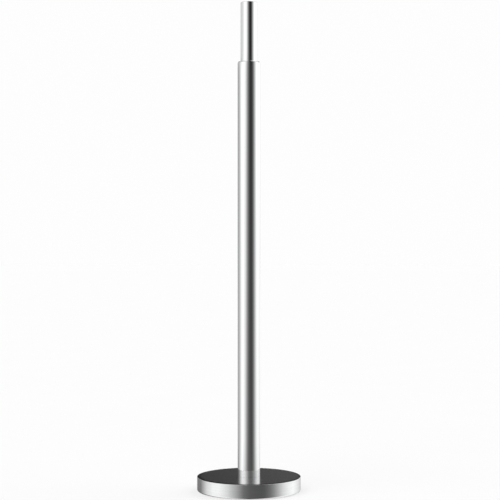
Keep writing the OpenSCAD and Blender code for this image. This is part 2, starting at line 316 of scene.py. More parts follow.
# ----------------------------------------------------------------- materials
class Tree:
    """Small helper that builds a procedural material."""

    def __init__(self, name):
        self.mat = bpy.data.materials.new(name)
        self.mat.use_nodes = True
        self.t = self.mat.node_tree
        self.t.nodes.clear()
        self.out = self.node("ShaderNodeOutputMaterial")
        self.b = self.node("ShaderNodeBsdfPrincipled")
        self.t.links.new(self.b.outputs[0], self.out.inputs["Surface"])
        self.obj = self.node("ShaderNodeTexCoord").outputs["Object"]

    def node(self, kind, **props):
        n = self.t.nodes.new(kind)
        for k, v in props.items():
            setattr(n, k, v)
        return n

    def put(self, socket, value):
        if isinstance(value, bpy.types.NodeSocket):
            self.t.links.new(value, socket)
        elif isinstance(value, (tuple, list)) and len(value) == 3 and socket.type == "RGBA":
            socket.default_value = (*value, 1.0)
        else:
            socket.default_value = value

    def math(self, op, a, b=0.0, c=0.0, clamp=False):
        n = self.node("ShaderNodeMath", operation=op, use_clamp=clamp)
        for s, v in zip(n.inputs, (a, b, c)):
            self.put(s, v)
        return n.outputs[0]

    def vec(self, x, y, z):
        n = self.node("ShaderNodeCombineXYZ")
        for s, v in zip(n.inputs, (x, y, z)):
            self.put(s, v)
        return n.outputs[0]

    def xyz(self, v=None):
        n = self.node("ShaderNodeSeparateXYZ")
        self.put(n.inputs[0], v or self.obj)
        return n.outputs

    def scaled(self, s, v=None):
        n = self.node("ShaderNodeMapping")
        self.put(n.inputs["Vector"], v or self.obj)
        n.inputs["Scale"].default_value = s
        return n.outputs[0]

    def noise(self, v, scale=1.0, detail=2.0, rough=0.5, distortion=0.0):
        n = self.node("ShaderNodeTexNoise")
        self.put(n.inputs["Vector"], v)
        n.inputs["Scale"].default_value = scale
        n.inputs["Detail"].default_value = detail
        n.inputs["Roughness"].default_value = rough
        n.inputs["Distortion"].default_value = distortion
        return n.outputs[0]

    def remap(self, v, a, b, c, d, kind="SMOOTHSTEP"):
        n = self.node("ShaderNodeMapRange", interpolation_type=kind)
        self.put(n.inputs["Value"], v)
        for s, x in zip(("From Min", "From Max", "To Min", "To Max"), (a, b, c, d)):
            n.inputs[s].default_value = x
        return n.outputs[0]

    def mix(self, f, a, b):
        n = self.node("ShaderNodeMix", data_type="RGBA")
        self.put(n.inputs[0], f)
        self.put(n.inputs[6], a)
        self.put(n.inputs[7], b)
        return n.outputs[2]

    def bump(self, height, strength, distance, normal=None):
        n = self.node("ShaderNodeBump")
        n.inputs["Strength"].default_value = strength
        n.inputs["Distance"].default_value = distance
        self.put(n.inputs["Height"], height)
        if normal is not None:
            self.put(n.inputs["Normal"], normal)
        return n.outputs[0]

    def set(self, **kw):
        for k, v in kw.items():
            self.put(self.b.inputs[k.replace("_", " ")], v)
        return self.mat

    def polar(self):
        """radius, and the two parts of the direction from the axis"""
        x, y, z = self.xyz()
        r = self.math("SQRT", self.math("ADD", self.math("MULTIPLY", x, x), self.math("MULTIPLY", y, y)))
        return r, x, y, z


def mirror_steel(name, along="length", tint=(0.88, 0.885, 0.89), rough=0.05):
    """Mirror-polished stainless steel: faint polishing lines, hairlines and handling haze."""
    m = Tree(name)
    r, x, y, z = m.polar()
    if along == "length":
        fine = m.noise(m.scaled((900, 900, 6)), 1.0, 3.0, 0.6)
        broad = m.noise(m.scaled((160, 160, 1.6)), 1.0, 2.0, 0.5)
    else:
        fine = m.noise(m.vec(m.math("MULTIPLY", r, 1500), 0.0, m.math("MULTIPLY", z, 1500)), 1.0, 3.0, 0.6)
        broad = m.noise(m.scaled((14, 14, 260)), 1.0, 2.0, 0.5)
    # hairline scratches: thin ridges of a stretched noise, at two slants
    hair = None
    for k, (sx, sz, slant) in enumerate(((210, 9, 0.35), (260, 7, -0.22), (180, 12, 0.9))):
        warp = m.vec(
            m.math("ADD", m.math("MULTIPLY", x, sx), m.math("MULTIPLY", z, sx * slant)),
            m.math("ADD", m.math("MULTIPLY", y, sx), m.math("MULTIPLY", z, sx * slant * 0.6)),
            m.math("MULTIPLY", z, sz),
        )
        n = m.noise(warp, 1.0 + 0.13 * k, 1.0, 0.4)
        line = m.remap(m.math("ABSOLUTE", m.math("SUBTRACT", n, 0.5)), 0.0, 0.0035, 1.0, 0.0)
        hair = line if hair is None else m.math("MAXIMUM", hair, line)
    where = m.remap(m.noise(m.scaled((11, 11, 7)), 1.0, 2.0, 0.5), 0.52, 0.66, 0.0, 1.0)
    hair = m.math("MULTIPLY", hair, where)
    haze = m.remap(m.noise(m.scaled((17, 17, 9)), 1.0, 4.0, 0.55, 0.6), 0.42, 0.75, 0.0, 1.0)
    rough_v = m.math("ADD", rough, m.math("MULTIPLY", haze, 0.030))
    rough_v = m.math("ADD", rough_v, m.math("MULTIPLY", m.math("SUBTRACT", fine, 0.5), 0.030))
    rough_v = m.math("ADD", rough_v, m.math("MULTIPLY", hair, 0.16), clamp=True)
    dull = tuple(c * 0.955 for c in tint)
    colour = m.mix(m.remap(broad, 0.35, 0.7, 0.0, 1.0), tint, dull)
    colour = m.mix(m.math("MULTIPLY", hair, 0.25), colour, (0.62, 0.62, 0.62))
    height = m.math("SUBTRACT", m.math("MULTIPLY", fine, 0.35), m.math("MULTIPLY", hair, 1.0))
    return m.set(
        Base_Color=colour,
        Metallic=1.0,
        Roughness=rough_v,
        Normal=m.bump(height, 0.10, 0.00002),
    )


def dark_mirror(name):
    """Dark mirror plating under clear lacquer, with fine turning rings, dust and wipe marks."""
    m = Tree(name)
    r, x, y, z = m.polar()
    rings = m.noise(m.vec(m.math("MULTIPLY", r, 1300), m.math("MULTIPLY", x, 3), m.math("MULTIPLY", y, 3)), 1.0, 3.0, 0.6)
    wipe = m.remap(m.noise(m.scaled((9, 26, 9)), 1.0, 4.0, 0.6, 0.9), 0.45, 0.72, 0.0, 1.0)
    dust = m.remap(m.noise(m.scaled((420, 420, 420)), 1.0, 1.0, 0.3), 0.735, 0.79, 0.0, 1.0)
    dust = m.math("MULTIPLY", dust, m.remap(m.noise(m.scaled((20, 20, 20)), 1.0, 2.0), 0.4, 0.65, 0.2, 1.0))
    low = m.mix(m.remap(rings, 0.3, 0.7, 0.0, 1.0), (0.120, 0.120, 0.127), (0.150, 0.150, 0.156))
    # the plating's own gloss: a metal of this kind turns into a full mirror at a low angle
    facing = m.node("ShaderNodeLayerWeight")
    facing.inputs["Blend"].default_value = 0.5
    base = m.mix(m.math("MULTIPLY", m.math("POWER", facing.outputs["Facing"], 3.0), 0.95), low, (0.80, 0.80, 0.81))
    base = m.mix(m.math("MULTIPLY", dust, 0.30), base, (0.42, 0.42, 0.41))
    return m.set(
        Base_Color=base,
        Metallic=1.0,
        Roughness=m.math("ADD", 0.24, m.math("MULTIPLY", m.math("SUBTRACT", rings, 0.5), 0.08), clamp=True),
        Coat_Weight=1.0,
        Coat_IOR=1.5,
        Coat_Roughness=m.math(
            "ADD", 0.070, m.math("ADD", m.math("MULTIPLY", wipe, 0.035), m.math("MULTIPLY", dust, 0.2)), clamp=True
        ),
        Normal=m.bump(rings, 0.06, 0.00003),
    )


def turned_metal(name, colour, rough=0.28, depth=0.25, tarnish=None):
    """Turned or plated metal: tool marks round the axis, patchy tone and small nicks."""
    m = Tree(name)
    r, x, y, z = m.polar()
    marks = m.noise(m.vec(m.math("MULTIPLY", r, 2600), 0.0, m.math("MULTIPLY", z, 2600)), 1.0, 3.0, 0.65)
    patch = m.noise(m.scaled((60, 60, 60)), 1.0, 4.0, 0.6)
    nick = m.remap(m.noise(m.scaled((900, 900, 900)), 1.0, 2.0, 0.4), 0.70, 0.76, 0.0, 1.0)
    dark = tarnish or tuple(c * 0.72 for c in colour)
    base = m.mix(m.remap(patch, 0.40, 0.70, 0.0, 1.0), colour, dark)
    base = m.mix(m.math("MULTIPLY", nick, 0.5), base, tuple(c * 0.45 for c in colour))
    height = m.math("SUBTRACT", marks, m.math("MULTIPLY", nick, 0.8))
    return m.set(
        Base_Color=base,
        Metallic=1.0,
        Roughness=m.math("ADD", rough, m.math("MULTIPLY", m.math("SUBTRACT", patch, 0.5), 0.22), clamp=True),
        Normal=m.bump(height, depth, 0.00006),
    )


def cast_iron(name):
    """Sand-cast iron under thin black paint."""
    m = Tree(name)
    grain = m.noise(m.scaled((700, 700, 700)), 1.0, 4.0, 0.6)
    skin = m.noise(m.scaled((120, 120, 120)), 1.0, 5.0, 0.6)
    rust = m.remap(m.noise(m.scaled((45, 45, 45)), 1.0, 6.0, 0.65), 0.60, 0.72, 0.0, 1.0)
    base = m.mix(m.remap(skin, 0.3, 0.7, 0.0, 1.0), (0.016, 0.016, 0.017), (0.040, 0.040, 0.041))
    base = m.mix(m.math("MULTIPLY", rust, 0.45), base, (0.085, 0.040, 0.022))
    height = m.math("ADD", m.math("MULTIPLY", grain, 0.4), skin)
    return m.set(
        Base_Color=base,
        Metallic=0.0,
        Roughness=m.remap(skin, 0.3, 0.7, 0.42, 0.78),
        Normal=m.bump(height, 0.55, 0.0006),
    )


def rubber(name):
    m = Tree(name)
    r, x, y, z = m.polar()
    grain = m.noise(m.scaled((1500, 1500, 1500)), 1.0, 3.0, 0.6)
    bloom = m.noise(m.scaled((55, 55, 55)), 1.0, 4.0, 0.6)
    base = m.mix(m.remap(bloom, 0.35, 0.7, 0.0, 1.0), (0.012, 0.012, 0.012), (0.034, 0.033, 0.032))
    return m.set(
        Base_Color=base,
        Roughness=m.remap(bloom, 0.35, 0.7, 0.62, 0.85),
        Specular_IOR_Level=0.35,
        Normal=m.bump(grain, 0.35, 0.00015),
    )


def moulded(name, colour, rough=0.42, waxy=False):
    """Injection-moulded or turned plastic, with flow tone, fine texture and rubbed spots."""
    m = Tree(name)
    r, x, y, z = m.polar()
    texture = m.noise(m.scaled((1800, 1800, 1800)), 1.0, 2.0, 0.5)
    flow = m.noise(m.scaled((30, 30, 60)), 1.0, 4.0, 0.6, 0.5)
    lines = m.noise(m.vec(m.math("MULTIPLY", r, 900), 0.0, m.math("MULTIPLY", z, 900)), 1.0, 2.0, 0.5)
    base = m.mix(m.remap(flow, 0.35, 0.7, 0.0, 1.0), colour, tuple(c * 0.78 for c in colour))
    kw = dict(
        Base_Color=base,
        Roughness=m.math("ADD", rough, m.math("MULTIPLY", m.math("SUBTRACT", flow, 0.5), 0.25), clamp=True),
        Normal=m.bump(m.math("ADD", texture, m.math("MULTIPLY", lines, 0.7)), 0.25, 0.00008),
    )
    if waxy:
        kw.update(Subsurface_Weight=0.25, Subsurface_Radius=(0.004, 0.0035, 0.003), Subsurface_Scale=0.5)
    return m.set(**kw)


MAT = {
    "tube": mirror_steel("mirror_steel_tube", "length"),
    "rim": mirror_steel("mirror_steel_rim", "round"),
    "plate": dark_mirror("dark_mirror_plate"),
    "iron": cast_iron("painted_cast_iron"),
    "rubber": rubber("black_rubber"),
    "zinc": turned_metal("zinc_plated_steel", (0.60, 0.62, 0.65), 0.30, 0.2, (0.52, 0.50, 0.42)),
    "spring": turned_metal("oiled_spring_steel", (0.26, 0.26, 0.28), 0.34, 0.2, (0.14, 0.12, 0.11)),
    "turned": turned_metal("turned_steel", (0.50, 0.51, 0.53), 0.24, 0.35),
    "black": turned_metal("black_oxide_steel", (0.05, 0.05, 0.055), 0.40, 0.2, (0.09, 0.07, 0.06)),
    "nylon": moulded("black_nylon", (0.020, 0.020, 0.022), 0.40),
    "acetal": moulded("natural_acetal", (0.74, 0.72, 0.64), 0.36, waxy=True),
    "alu": turned_metal("turned_aluminium", (0.76, 0.77, 0.79), 0.22, 0.35),
    "brass": turned_metal("turned_brass", (0.74, 0.52, 0.22), 0.22, 0.35, (0.50, 0.32, 0.14)),
}


def dress(ob, mat):
    """Gives every slot of an object the same procedural material."""
    if not ob.material_slots:
        ob.data.materials.append(MAT[mat])
    for s in ob.material_slots:
        s.link = "OBJECT"
        s.material = MAT[mat]


def piece(ob, mat, body, slot, *nodes):
    ob.data.materials.append(MAT[mat])
    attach(ob, body)
    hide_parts(*nodes)
    return ob


# -------------------------------------------------------------------- camera
cam = bpy.data.objects.new("camera", bpy.data.cameras.new("camera"))
bpy.context.scene.collection.objects.link(cam)
cam.data.sensor_width = 36.0
cam.data.lens = 96.3
cam.data.clip_start, cam.data.clip_end = 0.05, 200.0
cam.location = (0.0032, -3.882, 0.698)
cam.rotation_euler = (math.radians(90), 0, 0)
bpy.context.scene.camera = cam

# -------------------------------------------------------------------- pieces
POST_R, POST_IN = 32.5, 31.0
UP_R, UP_IN = 24.15, 22.15
BASE_R = 150.0
z_foot, z_post = bottom("post_tube"), top("post_tube")
z_up0, z_up1 = bottom("upper_tube"), top("upper_tube")

# post: straight wall, rolled mouth, short lip
roll, wall = 3.5, 1.5
cz = z_post - roll
lip = POST_R - roll - 0.55
outline = [(POST_IN + 0.1, z_foot), (POST_R - 0.1, z_foot), (POST_R, z_foot + 0.1)]
outline += arc(POST_R - roll, cz, roll, 0, 90, 20)
outline += [(lip + 0.25, z_post), (lip + 0.07, z_post - 0.07), (lip, z_post - 0.25)]
outline += [(lip, z_post - wall + 0.25), (lip + 0.07, z_post - wall + 0.07), (lip + 0.25, z_post - wall)]
outline += arc(POST_R - roll, cz, roll - wall, 90, 0, 12)
outline += [(POST_IN, z_foot + 0.1)]
post = lathe("post_tube_polished", supported(outline), 256)
piece(post, "tube", "base", "polished_steel", "post_tube")

# upper tube: rounded rim, three rivet holes low down
upper = turned(
    "upper_tube_polished",
    [(UP_IN, z_up0, 0.3), (UP_R, z_up0, 0.3), (UP_R, z_up1, 0.7), (UP_IN, z_up1, 0.3)],
    224,
    8,
    smooth=False,
)
combine(upper, [rod(2.5, 18, 28, z_up0 + 14, 90 + 120 * k) for k in range(3)])
piece(upper, "tube", "upper", "polished_steel", "upper_tube")

# rim band with its rounded lower edge, flange and countersunk holes
z_r0, z_r1 = bottom("rim_band"), top("rim_band")
outline = arc(BASE_R - 11.2, z_r0 + 0.3, 0.3, 180, 270, 4)
outline += arc(BASE_R - 3, z_r0 + 3, 3, -90, 0, 14)
outline += arc(BASE_R - 0.5, z_r1 - 0.5, 0.5, 0, 90, 8)
outline += arc(BASE_R - 1.3, z_r1 - 0.2, 0.2, 90, 180, 4)
outline += [(BASE_R - 1.5, z_r0 + 3.1), (BASE_R - 1.68, z_r0 + 2.68), (BASE_R - 2.1, z_r0 + 2.5)]
outline += arc(BASE_R - 11.2, z_r0 + 2.2, 0.3, 90, 180, 4)
rim = lathe("rim_band_polished", supported(outline), 384, smooth=False)
holes = []
for k in range(4):
    w = math.radians(45 + 90 * k)
    spot = Matrix.Translation((143.5 * MM * math.cos(w), 143.5 * MM * math.sin(w), 0))
    c = lathe("cutter", [(0, z_r0 - 1), (5.87, z_r0 - 1), (2.05, z_r0 + 2.2), (2.05, z_r0 + 9), (0, z_r0 + 9)], 48)
    holes.append(placed(c, spot))
combine(rim, holes)
piece(rim, "rim", "base", "polished_steel", "rim_band")

# top plate
z_p0, z_p1 = bottom("top_plate"), top("top_plate")
outline = arc(8.7, z_p0 + 0.2, 0.2, 180, 270, 4) + arc(148.0, z_p0 + 0.3, 0.3, -90, 0, 5)
outline += arc(148.1, z_p1 - 1.0, 0.2, 0, 83, 5)
# the buffed surface falls away gently towards its edge
outline += [(134.3 + 13.8 * k / 24, z_p1 - 0.79 * (k / 24) ** 2) for k in range(23, -1, -1)]
outline += arc(8.7, z_p1 - 0.2, 0.2, 90, 180, 4)
plate = lathe("top_plate_dark", supported(outline), 384, smooth=False)
c = placed(prism("cutter", 48, 3.0, z_p0 - 5, z_p1 + 5), Matrix.Translation((0.020, 0, 0)))
combine(plate, [c])
piece(plate, "plate", "base", "dark_mirror_plate", "top_plate")

# ------------------------------------------------- pieces inside the base and post
def ring_of(name, r_in, r_out, z0, z1, edge=0.3, segs=128):
    return turned(name, [(r_in, z0, edge), (r_out, z0, edge), (r_out, z1, edge), (r_in, z1, edge)], segs, 4, 0.2)


def hexagon(name, af, z0, z1):
    """A hexagon bar with its corners turned off at both ends."""
    d = af / math.cos(math.radians(30)) / 2
    ob = prism(name, 6, d, z0, z1)
    turn = lathe(
        "cutter",
        [(0, z0), (af / 2 - 0.2, z0), (d + 0.1, z0 + 1.2), (d + 0.1, z1 - 1.2), (af / 2 - 0.2, z1), (0, z1)],
        96,
    )
    return combine(ob, [turn], "INTERSECT", 20.0)


def socket_cut(d, z0, z1):
    return prism("cutter", 6, d / 2, z0, z1)


def groove(outline, r, z0, z1, depth, width, pitch, start):
    """Ring grooves cut in a straight vertical span of an outline that runs upwards."""
    out, z = [], start
    while z + width < z1 - 1:
        out += [(r, z, 0.15), (r - depth, z + 0.2, 0.1), (r - depth, z + width - 0.2, 0.1), (r, z + width, 0.15)]
        z += pitch
    return outline[0] + out + outline[1]


z_pt = top("top_plate")
z_pb = bottom("top_plate")
z_u = bottom("rim_band")

# ballast: painted casting with fillets, tapered pockets, screw holes and a pin hole
ballast = turned(
    "ballast_casting",
    [
        (8.5, 20, 0.4), (22, 20, 1.5), (22, z_u, 1.0), (118.3, z_u, 0.8), (118.3, 5, 0.5), (132.3, 5, 0.5),
        (132.3, z_u, 0.8), (138.3, z_u, 0.8), (138.3, 4.5, 0.4), (148.3, 4.5, 0.8), (148.3, z_pb, 1.2), (8.5, z_pb, 0.4),
    ],
    240,
    4,
    0.4,
    smooth=False,
)
cuts = []
r0, r1 = 50.0, 106.3
h0 = 30 - math.degrees(math.asin(6 / r0))
h1 = 30 - math.degrees(math.asin(6 / r1))
shape = [(r0, h0 * (-1 + 2 * k / 9)) for k in range(10)] + [(r1, h1 * (1 - 2 * k / 14)) for k in range(15)]
shape = [(r * math.cos(math.radians(a)), r * math.sin(math.radians(a))) for r, a in shape]
corners = {0, 9, 10, 24}
rounded = filleted([(x, y, 4.0 if k in corners else 0.0) for k, (x, y) in enumerate(shape)], 6)


def inset(loop, dist):
    """The loop moved inwards along its own normals."""
    out, n = [], len(loop)
    area = sum(loop[i][0] * loop[(i + 1) % n][1] - loop[(i + 1) % n][0] * loop[i][1] for i in range(n))
    way = 1.0 if area > 0 else -1.0
    for i in range(n):
        a, b = Vector(loop[i - 1]), Vector(loop[(i + 1) % n])
        t_ = (b - a).normalized()
        out.append((loop[i][0] - way * t_.y * dist, loop[i][1] + way * t_.x * dist))
    return out


layers = [(-1.0, -1.5), (0.5, 0.0), (12.3, 0.35)]
layers += [(12.3 + 1.6 * math.sin(math.radians(a)), 0.35 + 1.5 * (1 - math.cos(math.radians(a)))) for a in (22.5, 45, 67.5, 90)]
for k in range(6):
    rings = [[(x, y, z_u + dz_) for x, y in inset(rounded, d_)] for dz_, d_ in layers]
    cuts.append(placed(skin("cutter", rings), Matrix.Rotation(math.radians(60 * k), 4, "Z")))
for k in range(4):
    w = math.radians(45 + 90 * k)
    cuts.append(
        placed(
            prism("cutter", 32, 2.02, z_u, z_u + 14),
            Matrix.Translation((143.5 * MM * math.cos(w), 143.5 * MM * math.sin(w), 0)),
        )
    )
cuts.append(placed(prism("cutter", 32, 3.0, z_pb - 10, z_pb + 5), Matrix.Translation((0.020, 0, 0))))
combine(ballast, cuts)
piece(ballast, "iron", "base", "cast_iron", "ballast_disc")

# rubber ring with three tread grooves
tread = []
for c in (121.8, 125.3, 128.8):
    tread += [(c - 0.7, 0, 0.2), (c - 0.5, 0.9, 0.2), (c + 0.5, 0.9, 0.2), (c + 0.7, 0, 0.2)]
piece(
    turned("floor_ring_moulded", [(118.3, 0, 0.6)] + tread + [(132.3, 0, 0.6), (132.3, 5, 0.5), (118.3, 5, 0.5)], 256, 4),
    "rubber", "base", "black_rubber", "floor_ring",
)

# countersunk band screws with M4 threads and hexagon sockets
screws = []
for k in range(4):
    s = bar_thread(
        "screw", 2.0, 0.7, z_u + 2.6, z_u + 12.05,
        before=[(0, z_u + 0.05), (3.8, z_u + 0.05), (4.0, z_u + 0.25), (2.0, z_u + 2.25)], high=0.6, segs=36,
    )
    combine(s, [socket_cut(2.9, z_u - 0.5, z_u + 1.6)], angle=45.0)
    w = math.radians(45 + 90 * k)
    screws.append(placed(s, Matrix.Translation((143.5 * MM * math.cos(w), 143.5 * MM * math.sin(w), 0))))
piece(soften(joined("band_screws_threaded", screws), 45), "zinc", "base", "zinc_steel", "band_screws")

# gasket, washers, bolt
g = ring_of("post_gasket_cut", 8.5, 30.5, z_pt, z_pt + 0.5, 0.08)
combine(g, [placed(prism("cutter", 32, 3.0, z_pt - 1, z_pt + 2), Matrix.Translation((0.020, 0, 0)))])
piece(g, "rubber", "base", "black_rubber", "post_gasket")
piece(ring_of("bolt_washer_flat", 8.5, 15, 17, 20, 0.35), "zinc", "base", "zinc_steel", "bolt_washer")
piece(
    c_ring(
        "spring_washer_split",
        supported(filleted([(8.3, 13.5, 0.3), (13.7, 13.5, 0.5), (13.7, 17, 0.5), (8.3, 17, 0.3)], 3), 0.15),
        10.4, 90, 0.364,
    ),
    "spring", "base", "spring_steel", "spring_washer",
)
bolt = bar_thread(
    "centre_bolt_threaded", 7.98, 2.0, 27.0, 63.5,
    before=[(0, 12.4), (7.98, 12.4), (7.98, 26.6)], high=1.5, segs=72,
)
combine(bolt, [hexagon("cutter", 24, 3.5, 13.5)], "UNION", 35.0)
piece(bolt, "zinc", "base", "zinc_steel", "centre_bolt")
z_lp0, z_lp1 = bottom("locating_pin"), top("locating_pin")
piece(
    c_ring(
        "locating_pin_slotted",
        supported(filleted([(1.8, z_lp0, 0.1), (2.98, z_lp0, 0.4), (2.98, z_lp1, 0.4), (1.8, z_lp1, 0.1)], 3), 0.15),
        29, 0, 0.0, 40, (20.0, 0.0),
    ),
    "spring", "base", "spring_steel", "locating_pin",
)

# foot plug and bump stop
z_fp = z_pt + 0.5
foot = turned(
    "foot_plug_turned",
    [(8, z_fp, 0.8), (30.98, z_fp, 0.8), (30.98, z_fp + 35, 0.9), (24, z_fp + 35, 0.2), (23.6, z_fp + 34.6, 0.1),
     (22.6, z_fp + 34.6, 0.1), (22.2, z_fp + 35, 0.2), (8, z_fp + 35, 0.8)],
    128, 4,
)
combine(foot, [placed(prism("cutter", 32, 3.0, z_fp - 2, z_fp + 11), Matrix.Translation((0.020, 0, 0)))])
piece(foot, "turned", "base", "turned_steel", "foot_plug")
z_bs = z_fp + 35
piece(
    turned(
        "bump_stop_moulded",
        [(0, z_bs - 8, 0), (7.0, z_bs - 8, 0.6), (7.9, z_bs - 7, 0.4), (7.9, z_bs, 0.15), (20, z_bs, 0.9),
         (20, z_bs + 8, 2.4), (15.5, z_bs + 8, 0.5), (14.5, z_bs + 7, 0.5), (12.5, z_bs + 7, 0.5), (11.5, z_bs + 7.95, 0.5),
         (0, z_bs + 7.95, 0)],
        128, 6,
    ),
    "rubber", "base", "black_rubber", "bump_stop",
)

# mouth bush with ring grooves outside
z_m0, z_m1 = bottom("mouth_bush"), top("mouth_bush")
bush = groove(
    (
        [(25.22, z_m0, 0.4), (29.95, z_m0, 0.5), (30.95, z_m0 + 1, 0.4)],
        [(30.95, cz - 0.1, 0.4), (lip + 0.7, z_post - 1.8, 0.2), (lip - 0.05, z_post - 1.8, 0.05),
         (lip - 0.05, z_m1, 0.25), (24.72, z_m1, 0.2), (24.22, z_m1 - 0.5, 0.2), (24.22, z_m0 + 1, 0.3)],
    ),
    30.95, z_m0, cz, 0.7, 3.0, 16.0, z_m0 + 8,
)
piece(turned("mouth_bush_moulded", bush, 192, 4), "nylon", "base", "black_plastic", "mouth_bush")

# staff bush with ring grooves outside
z_s0, z_s1 = bottom("staff_bush"), top("staff_bush")
bush = groove(
    (
        [(18.25, z_s0, 0.4), (22.13, z_s0, 0.5)],
        [(22.13, z_s1, 0.25), (17.25, z_s1, 0.4), (16.25, z_s1 - 1, 0.4), (16.25, z_s0 + 2, 0.4)],
    ),
    22.13, z_s0, z_s1, 0.6, 2.6, 15.0, z_s0 + 7,
)
piece(turned("staff_bush_moulded", bush, 192, 4), "nylon", "upper", "black_plastic", "staff_bush")

# end plug with its cup, rivet holes and cross hole
z_t = z_up0
holes = [rod(2.5, 12, 29.93, z_t + 14, 90 + 120 * k, 32) for k in range(3)] + [rod(2.0, -20.15, 20.15, z_t + 6, 0, 32)]
plug = turned(
    "end_plug_turned",
    [(6, z_t - 6, 0.5), (27.45, z_t - 6, 0.6), (27.45, z_t, 0.4), (22.13, z_t, 0.15), (22.13, z_t + 49, 0.3),
     (21.15, z_t + 50, 0.3), (20.25, z_t + 50, 0.3), (16.25, z_t + 45, 0.6), (16.25, z_t + 25, 1.2), (0, z_t + 25, 0),
     (0, z_t + 18, 0), (6, z_t + 18, 0.2)],
    128, 4,
)
combine(plug, holes)
piece(plug, "alu", "upper", "aluminium", "end_plug")

# guide ring with shallow grease grooves and counterbored rivet holes
guide = turned(
    "lower_guide_ring_turned",
    [(24.17, z_t, 0.5), (30.93, z_t, 0.9), (30.93, z_t + 4, 0.2), (30.5, z_t + 4.3, 0.2), (30.5, z_t + 5.5, 0.2),
     (30.93, z_t + 5.8, 0.2), (30.93, z_t + 20, 0.2), (30.5, z_t + 20.3, 0.2), (30.5, z_t + 21.5, 0.2),
     (30.93, z_t + 21.8, 0.2), (30.93, z_t + 25, 0.9), (24.17, z_t + 25, 0.5)],
    160, 3,
)
holes = [rod(2.5, 22, 33, z_t + 14, 90 + 120 * k, 32) for k in range(3)]
holes += [rod(4.6, 27.93, 33, z_t + 14, 90 + 120 * k, 40) for k in range(3)]
combine(guide, holes)
piece(guide, "acetal", "upper", "pale_plastic", "lower_guide_ring")

# rivets with low domed heads
rivets = []
for k in range(3):
    r = lathe(
        "rivet",
        supported(
            [(0, 12.1), (2.1, 12.1), (2.48, 12.5), (2.48, 27.93), (4.3, 27.93), (4.5, 28.1), (4.5, 28.7)]
            + [(4.5 * math.cos(math.radians(a)), 28.7 + 1.23 * math.sin(math.radians(a))) for a in range(15, 90, 15)]
            + [(0, 29.93)],
            0.15,
        ),
        48,
    )
    rivets.append(
        placed(
            r,
            Matrix.Rotation(math.radians(90 + 120 * k), 4, "Z")
            @ Matrix.Translation((0, 0, (z_t + 14) * MM))
            @ Matrix.Rotation(math.radians(90), 4, "Y"),
        )
    )
piece(soften(joined("plug_rivets_domed", rivets)), "alu", "upper", "aluminium", "plug_rivets")

lying = Matrix.Translation((0, 0, (z_t + 6) * MM)) @ Matrix.Rotation(math.radians(90), 4, "Y")
piece(
    placed(turned("stud_pin_ground", [(0, -19.15, 0), (1.98, -19.15, 0.5), (1.98, 19.15, 0.5), (0, 19.15, 0)], 40, 4, 0.1), lying),
    "spring", "upper", "spring_steel", "stud_pin",
)

# lock stud with its M12 thread and cross hole
z_l0, z_l1 = bottom("lock_stud"), top("lock_stud")
stud = bar_thread(
    "lock_stud_threaded", 5.98, 1.75, z_l0 + 0.01, z_l1 - 0.01,
    before=[(0, z_l0), (4.9, z_l0)], after=[(4.9, z_l1), (0, z_l1)], low=1.0, high=1.0, segs=48,
)
combine(stud, [rod(2.0, -12, 12, z_t + 6, 0, 32)], angle=50.0)
piece(stud, "zinc", "upper", "zinc_steel", "lock_stud")
z_w = bottom("thrust_washer")
piece(
    turned(
        "thrust_washer_turned",
        [(6.3, z_w, 0.3), (14.0, z_w, 0.1), (14.3, z_w + 0.5, 0.1), (15.3, z_w + 0.5, 0.1), (15.6, z_w, 0.1),
         (23.95, z_w, 0.35), (23.95, z_w + 3, 0.35), (6.3, z_w + 3, 0.3)],
        128, 4, 0.15,
    ),
    "brass", "upper", "brass", "thrust_washer",
)

# stop ring and its grub screws
z_r = bottom("stop_ring")
stop = ring_of("stop_ring_turned", 24.17, 30.25, z_r, z_r + 14.95, 0.8)
combine(stop, [rod(2.5, 20, 34, z_r + 7.5, 180 * k, 32) for k in range(2)])
piece(stop, "turned", "upper", "turned_steel", "stop_ring")
grubs = []
for k in range(2):
    s = bar_thread(
        "grub", 2.48, 0.8, 24.5, 29.84,
        before=[(0, 24.17), (1.3, 24.17)], after=[(0, 29.85)], low=0.7, high=0.35, segs=40,
    )
    combine(s, [socket_cut(2.9, 27.85, 31)], angle=45.0)
    grubs.append(
        placed(
            s,
            Matrix.Rotation(math.radians(180 * k), 4, "Z")
            @ Matrix.Translation((0, 0, (z_r + 7.5) * MM))
            @ Matrix.Rotation(math.radians(90), 4, "Y"),
        )
    )
piece(soften(joined("stop_ring_grub_screws", grubs), 45), "black", "upper", "black_steel", "stop_ring_screws")

# self-locking nut: hexagon, round collar and nylon insert's lip
z_n = bottom("stop_nut")
nut = hexagon("stop_nut_hexagon", 19.2, z_n + 3, z_n + 12)
combine(
    nut,
    [turned("cutter", [(0, z_n, 0), (8.0, z_n, 1.2), (8.6, z_n + 1.5, 0.6), (8.6, z_n + 4, 0), (0, z_n + 4, 0)], 96, 5)],
    "UNION", 30.0,
)
combine(
    nut,
    [lathe("cutter", [(0, z_n - 1), (7.6, z_n - 1), (6.6, z_n + 0.6), (6.0, z_n + 0.6), (6.0, z_n + 11.4), (7.6, z_n + 13), (0, z_n + 13)], 64)],
    "DIFFERENCE", 30.0,
)
piece(nut, "zinc", "upper", "zinc_steel", "stop_nut")

